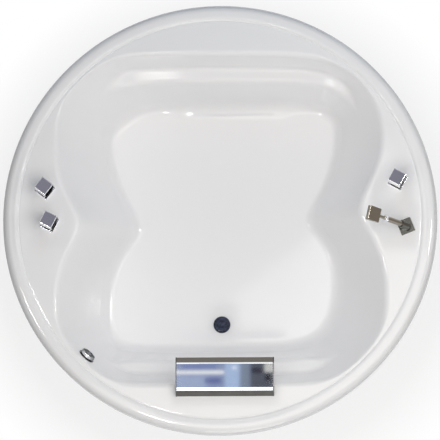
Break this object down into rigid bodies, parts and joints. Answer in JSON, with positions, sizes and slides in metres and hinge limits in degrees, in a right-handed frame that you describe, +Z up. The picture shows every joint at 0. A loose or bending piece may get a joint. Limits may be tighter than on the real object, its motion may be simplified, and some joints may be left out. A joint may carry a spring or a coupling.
{
  "type": "round bathtub",
  "caption": "Round drop-in bathtub with ledges and a waisted well on a steel frame, with cascade spout, square tap handles, pull-out hand shower, pop-up waste and overflow.",
  "frame": {"origin": "on the floor under the middle of the round rim", "axes": "+Z up; +Y from the cascade spout towards the opposite rim; +X to the hand shower's side"},
  "size_m": [1.8, 1.8, 0.8093],
  "materials": {
    "white_shell": "gloss",
    "plywood": "matte",
    "frame_steel": "satin",
    "zinc_steel": "satin",
    "foot_plastic": "matte",
    "chrome": "polished",
    "seal_rubber": "matte",
    "white_plastic": "satin",
    "cable_sleeve": "satin",
    "valve_brass": "satin",
    "pipe_brass": "satin",
    "spray_plastic": "satin"
  },
  "bodies": {
    "base": {"tub_shell": "white_shell", "base_board": "plywood", "front_deck_board": "plywood", "back_deck_board": "plywood", "left_deck_board": "plywood", "right_deck_board": "plywood", "left_side_rail": "frame_steel", "right_side_rail": "frame_steel", "front_cross_rail": "frame_steel", "middle_cross_rail": "frame_steel", "back_cross_rail": "frame_steel", "front_left_post": "frame_steel", "front_right_post": "frame_steel", "back_left_post": "frame_steel", "back_right_post": "frame_steel", "left_post": "frame_steel", "right_post": "frame_steel", "foot_lock_nuts": "zinc_steel", "waste_flange": "chrome", "waste_gasket": "seal_rubber", "waste_body": "white_plastic", "trap_nut": "white_plastic", "trap_cup": "white_plastic", "trap_outlet": "white_plastic", "overflow_face": "chrome", "overflow_gasket": "seal_rubber", "overflow_body": "white_plastic", "overflow_pipe": "white_plastic", "plug_cable": "cable_sleeve", "hot_plate": "chrome", "cold_plate": "chrome", "diverter_plate": "chrome", "hot_valve": "valve_brass", "cold_valve": "valve_brass", "diverter_valve": "valve_brass", "deck_nuts": "valve_brass", "mixing_tee": "valve_brass", "mixed_pipe": "pipe_brass", "spout_pipe": "pipe_brass", "shower_pipe": "pipe_brass", "shower_plate": "chrome", "shower_holder": "chrome", "spout_base": "chrome", "spout_cover": "chrome", "spout_ends": "chrome"},
    "front_left_foot": {"front_left_foot": "foot_plastic"},
    "front_right_foot": {"front_right_foot": "foot_plastic"},
    "back_left_foot": {"back_left_foot": "foot_plastic"},
    "back_right_foot": {"back_right_foot": "foot_plastic"},
    "left_foot": {"left_foot": "foot_plastic"},
    "right_foot": {"right_foot": "foot_plastic"},
    "inner_left_foot": {"inner_left_foot": "foot_plastic"},
    "inner_right_foot": {"inner_right_foot": "foot_plastic"},
    "waste_plug": {"waste_plug": "chrome"},
    "overflow_knob": {"overflow_knob": "chrome"},
    "hot_handle": {"hot_handle": "chrome"},
    "cold_handle": {"cold_handle": "chrome"},
    "diverter_handle": {"diverter_handle": "chrome"},
    "hand_shower": {"handset": "chrome", "spray_plate": "spray_plastic"}
  },
  "joints": [
    {"name": "front_left_foot_screw", "type": "slide", "parent": "base", "child": "front_left_foot", "axis": [0, 0, -1], "range_m": [0, 0.03]},
    {"name": "front_right_foot_screw", "type": "slide", "parent": "base", "child": "front_right_foot", "axis": [0, 0, -1], "range_m": [0, 0.03]},
    {"name": "back_left_foot_screw", "type": "slide", "parent": "base", "child": "back_left_foot", "axis": [0, 0, -1], "range_m": [0, 0.03]},
    {"name": "back_right_foot_screw", "type": "slide", "parent": "base", "child": "back_right_foot", "axis": [0, 0, -1], "range_m": [0, 0.03]},
    {"name": "left_foot_screw", "type": "slide", "parent": "base", "child": "left_foot", "axis": [0, 0, -1], "range_m": [0, 0.03]},
    {"name": "right_foot_screw", "type": "slide", "parent": "base", "child": "right_foot", "axis": [0, 0, -1], "range_m": [0, 0.03]},
    {"name": "inner_left_foot_screw", "type": "slide", "parent": "base", "child": "inner_left_foot", "axis": [0, 0, -1], "range_m": [0, 0.03]},
    {"name": "inner_right_foot_screw", "type": "slide", "parent": "base", "child": "inner_right_foot", "axis": [0, 0, -1], "range_m": [0, 0.03]},
    {"name": "knob_turn", "type": "hinge", "parent": "base", "child": "overflow_knob", "pos_m": [-0.5553, -0.56507, 0.592], "axis": [-0.6522, -0.6637, -0.3661], "range_deg": [0, 90]},
    {"name": "plug_lift", "type": "slide", "parent": "base", "child": "waste_plug", "axis": [0, 0, 1], "range_m": [-0.007, 0]},
    {"name": "hot_turn", "type": "hinge", "parent": "base", "child": "hot_handle", "pos_m": [-0.7258, 0.12798, 0.68], "axis": [0, 0, 1], "range_deg": [0, 90]},
    {"name": "cold_turn", "type": "hinge", "parent": "base", "child": "cold_handle", "pos_m": [-0.70689, -0.01234, 0.68], "axis": [0, 0, 1], "range_deg": [0, 90]},
    {"name": "diverter_turn", "type": "hinge", "parent": "base", "child": "diverter_handle", "pos_m": [0.73557, 0.15635, 0.68], "axis": [0, 0, 1], "range_deg": [0, 90]},
    {"name": "handset_lift", "type": "slide", "parent": "base", "child": "hand_shower", "axis": [-0.7464, 0.1723, 0.6428], "range_m": [0, 0.06]}
  ],
  "couplings": [
    {"joint": "plug_lift", "follows": "knob_turn", "m_per_rad": -0.004456}
  ]
}
